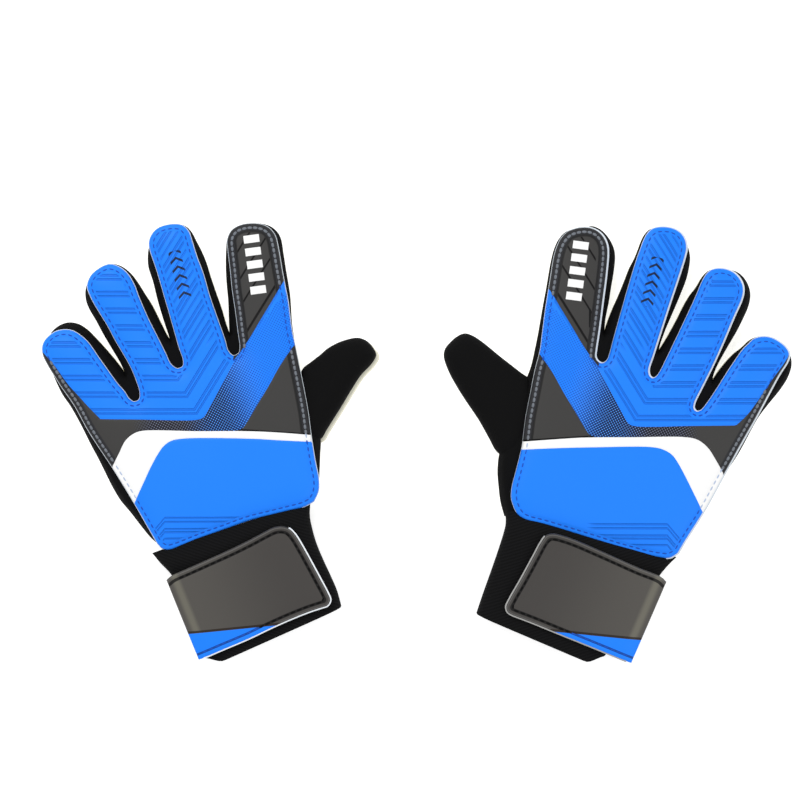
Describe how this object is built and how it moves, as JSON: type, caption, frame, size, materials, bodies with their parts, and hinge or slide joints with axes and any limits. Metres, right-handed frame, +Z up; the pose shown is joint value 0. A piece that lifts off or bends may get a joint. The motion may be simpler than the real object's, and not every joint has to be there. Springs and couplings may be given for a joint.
{
  "type": "pair of goalkeeper gloves",
  "caption": "Pair of padded goalkeeper gloves lying palm down, with jointed fingers, thumbs, elastic cuffs and peel-open wrist straps.",
  "frame": {"origin": "middle of the pair's footprint, on the floor under the palms", "axes": "+X from the left glove to the right glove, +Y along the fingers, +Z up out of the backs of the hands"},
  "size_m": [0.37, 0.221, 0.0208],
  "materials": {
    "latex_foam": "matt cut latex foam, very fine cells",
    "gusset_and_latex": "matt black knitted side gusset on a pale latex foam strip",
    "black_textile": "matt black textile lining and side gusset",
    "black_knit": "matt black knit",
    "blue_panel": "satin bright blue coated synthetic skin on foam, embossed lines",
    "grey_panel": "satin dark grey coated synthetic skin on foam, embossed lines",
    "printed_panel": "dark skin printed with a blue dot raster that fades towards the little-finger side",
    "white_band": "satin white coated synthetic skin",
    "cuff_elastic": "matt black ribbed elastic",
    "strap_panel": "satin dark grey coated strap with a blue wedge and pale piping",
    "hook_tape": "black hook tape"
  },
  "bodies": {
    "left_hand": {"left_palm_latex": "latex_foam", "left_hand_liner": "black_textile", "left_knuckle_panel": "blue_panel", "left_thumb_side_patch": "grey_panel", "left_printed_patch": "printed_panel", "left_white_band": "white_band", "left_wrist_panel": "blue_panel"},
    "left_index_proximal": {"left_index_proximal_sleeve": "gusset_and_latex", "left_index_proximal_back": "grey_panel"},
    "left_index_distal": {"left_index_distal_sleeve": "gusset_and_latex", "left_index_distal_back": "grey_panel"},
    "left_middle_proximal": {"left_middle_proximal_sleeve": "gusset_and_latex", "left_middle_proximal_back": "blue_panel"},
    "left_middle_distal": {"left_middle_distal_sleeve": "gusset_and_latex", "left_middle_distal_back": "blue_panel"},
    "left_ring_proximal": {"left_ring_proximal_sleeve": "gusset_and_latex", "left_ring_proximal_back": "blue_panel"},
    "left_ring_distal": {"left_ring_distal_sleeve": "gusset_and_latex", "left_ring_distal_back": "blue_panel"},
    "left_little_proximal": {"left_little_proximal_sleeve": "gusset_and_latex", "left_little_proximal_back": "blue_panel"},
    "left_little_distal": {"left_little_distal_sleeve": "gusset_and_latex", "left_little_distal_back": "blue_panel"},
    "left_thumb_proximal": {"left_thumb_proximal_latex": "latex_foam", "left_thumb_proximal_cover": "black_knit"},
    "left_thumb_distal": {"left_thumb_distal_latex": "latex_foam", "left_thumb_distal_cover": "black_knit"},
    "left_cuff": {"left_cuff": "cuff_elastic"},
    "left_strap": {"left_strap": "strap_panel", "left_hook_patch": "hook_tape"},
    "right_hand": {"right_palm_latex": "latex_foam", "right_hand_liner": "black_textile", "right_knuckle_panel": "blue_panel", "right_thumb_side_patch": "grey_panel", "right_printed_patch": "printed_panel", "right_white_band": "white_band", "right_wrist_panel": "blue_panel"},
    "right_index_proximal": {"right_index_proximal_sleeve": "gusset_and_latex", "right_index_proximal_back": "grey_panel"},
    "right_index_distal": {"right_index_distal_sleeve": "gusset_and_latex", "right_index_distal_back": "grey_panel"},
    "right_middle_proximal": {"right_middle_proximal_sleeve": "gusset_and_latex", "right_middle_proximal_back": "blue_panel"},
    "right_middle_distal": {"right_middle_distal_sleeve": "gusset_and_latex", "right_middle_distal_back": "blue_panel"},
    "right_ring_proximal": {"right_ring_proximal_sleeve": "gusset_and_latex", "right_ring_proximal_back": "blue_panel"},
    "right_ring_distal": {"right_ring_distal_sleeve": "gusset_and_latex", "right_ring_distal_back": "blue_panel"},
    "right_little_proximal": {"right_little_proximal_sleeve": "gusset_and_latex", "right_little_proximal_back": "blue_panel"},
    "right_little_distal": {"right_little_distal_sleeve": "gusset_and_latex", "right_little_distal_back": "blue_panel"},
    "right_thumb_proximal": {"right_thumb_proximal_latex": "latex_foam", "right_thumb_proximal_cover": "black_knit"},
    "right_thumb_distal": {"right_thumb_distal_latex": "latex_foam", "right_thumb_distal_cover": "black_knit"},
    "right_cuff": {"right_cuff": "cuff_elastic"},
    "right_strap": {"right_strap": "strap_panel", "right_hook_patch": "hook_tape"}
  },
  "joints": [
    {"name": "left_index_knuckle", "type": "hinge", "parent": "left_hand", "child": "left_index_proximal", "pos_m": [-0.076, 0.05426, 0.002], "axis": [-0.9921, -0.1251, 0], "range_deg": [-10, 70]},
    {"name": "left_index_middle", "type": "hinge", "parent": "left_index_proximal", "child": "left_index_distal", "pos_m": [-0.07908, 0.07868, 0.002], "axis": [-0.9921, -0.1251, 0], "range_deg": [0, 60]},
    {"name": "left_middle_knuckle", "type": "hinge", "parent": "left_hand", "child": "left_middle_proximal", "pos_m": [-0.1072, 0.05026, 0.002], "axis": [-0.9723, -0.2337, 0], "range_deg": [-10, 70]},
    {"name": "left_middle_middle", "type": "hinge", "parent": "left_middle_proximal", "child": "left_middle_distal", "pos_m": [-0.11349, 0.07644, 0.002], "axis": [-0.9723, -0.2337, 0], "range_deg": [0, 60]},
    {"name": "left_ring_knuckle", "type": "hinge", "parent": "left_hand", "child": "left_ring_proximal", "pos_m": [-0.134, 0.03826, 0.002], "axis": [-0.9272, -0.3745, 0], "range_deg": [-10, 70]},
    {"name": "left_ring_middle", "type": "hinge", "parent": "left_ring_proximal", "child": "left_ring_distal", "pos_m": [-0.14324, 0.06114, 0.002], "axis": [-0.9272, -0.3745, 0], "range_deg": [0, 60]},
    {"name": "left_little_knuckle", "type": "hinge", "parent": "left_hand", "child": "left_little_proximal", "pos_m": [-0.1576, 0.02026, 0.002], "axis": [-0.901, -0.4337, 0], "range_deg": [-10, 70]},
    {"name": "left_little_middle", "type": "hinge", "parent": "left_little_proximal", "child": "left_little_distal", "pos_m": [-0.16614, 0.03799, 0.002], "axis": [-0.901, -0.4337, 0], "range_deg": [0, 60]},
    {"name": "left_thumb_root", "type": "hinge", "parent": "left_hand", "child": "left_thumb_proximal", "pos_m": [-0.05063, 0.01963, 0.002], "axis": [-0.1338, 0.991, 0], "range_deg": [0, 60]},
    {"name": "left_thumb_middle", "type": "hinge", "parent": "left_thumb_proximal", "child": "left_thumb_distal", "pos_m": [-0.0365, 0.03886, 0.002], "axis": [-0.7314, 0.682, 0], "range_deg": [0, 60]},
    {"name": "left_wrist", "type": "hinge", "parent": "left_hand", "child": "left_cuff", "pos_m": [-0.08919, -0.04553, 0.0087], "axis": [0.9578, 0.2874, 0], "range_deg": [-20, 30]},
    {"name": "left_strap_peel", "type": "hinge", "parent": "left_cuff", "child": "left_strap", "pos_m": [-0.1178, -0.08784, 0.0183], "axis": [0.3779, -0.9258, 0], "range_deg": [0, 145]},
    {"name": "right_index_knuckle", "type": "hinge", "parent": "right_hand", "child": "right_index_proximal", "pos_m": [0.076, 0.05106, 0.002], "axis": [-0.9921, 0.1251, 0], "range_deg": [-10, 70]},
    {"name": "right_index_middle", "type": "hinge", "parent": "right_index_proximal", "child": "right_index_distal", "pos_m": [0.0792, 0.07644, 0.002], "axis": [-0.9921, 0.1251, 0], "range_deg": [0, 60]},
    {"name": "right_middle_knuckle", "type": "hinge", "parent": "right_hand", "child": "right_middle_proximal", "pos_m": [0.1072, 0.04706, 0.002], "axis": [-0.9723, 0.2337, 0], "range_deg": [-10, 70]},
    {"name": "right_middle_middle", "type": "hinge", "parent": "right_middle_proximal", "child": "right_middle_distal", "pos_m": [0.11365, 0.07388, 0.002], "axis": [-0.9723, 0.2337, 0], "range_deg": [0, 60]},
    {"name": "right_ring_knuckle", "type": "hinge", "parent": "right_hand", "child": "right_ring_proximal", "pos_m": [0.134, 0.03506, 0.002], "axis": [-0.9272, 0.3745, 0], "range_deg": [-10, 70]},
    {"name": "right_ring_middle", "type": "hinge", "parent": "right_ring_proximal", "child": "right_ring_distal", "pos_m": [0.14324, 0.05794, 0.002], "axis": [-0.9272, 0.3745, 0], "range_deg": [0, 60]},
    {"name": "right_little_knuckle", "type": "hinge", "parent": "right_hand", "child": "right_little_proximal", "pos_m": [0.1576, 0.01706, 0.002], "axis": [-0.901, 0.4337, 0], "range_deg": [-10, 70]},
    {"name": "right_little_middle", "type": "hinge", "parent": "right_little_proximal", "child": "right_little_distal", "pos_m": [0.16614, 0.03479, 0.002], "axis": [-0.901, 0.4337, 0], "range_deg": [0, 60]},
    {"name": "right_thumb_root", "type": "hinge", "parent": "right_hand", "child": "right_thumb_proximal", "pos_m": [0.05063, 0.01643, 0.002], "axis": [-0.1338, -0.991, 0], "range_deg": [0, 60]},
    {"name": "right_thumb_middle", "type": "hinge", "parent": "right_thumb_proximal", "child": "right_thumb_distal", "pos_m": [0.0365, 0.03566, 0.002], "axis": [-0.7314, -0.682, 0], "range_deg": [0, 60]},
    {"name": "right_wrist", "type": "hinge", "parent": "right_hand", "child": "right_cuff", "pos_m": [0.08919, -0.04873, 0.0087], "axis": [0.9578, -0.2874, 0], "range_deg": [-20, 30]},
    {"name": "right_strap_peel", "type": "hinge", "parent": "right_cuff", "child": "right_strap", "pos_m": [0.1178, -0.09104, 0.0183], "axis": [0.3779, 0.9258, 0], "range_deg": [0, 145]},
    {"name": "pair_spacing", "type": "slide", "parent": "left_hand", "child": "right_hand", "axis": [1, 0, 0], "range_m": [-0.03, 0.15]}
  ]
}
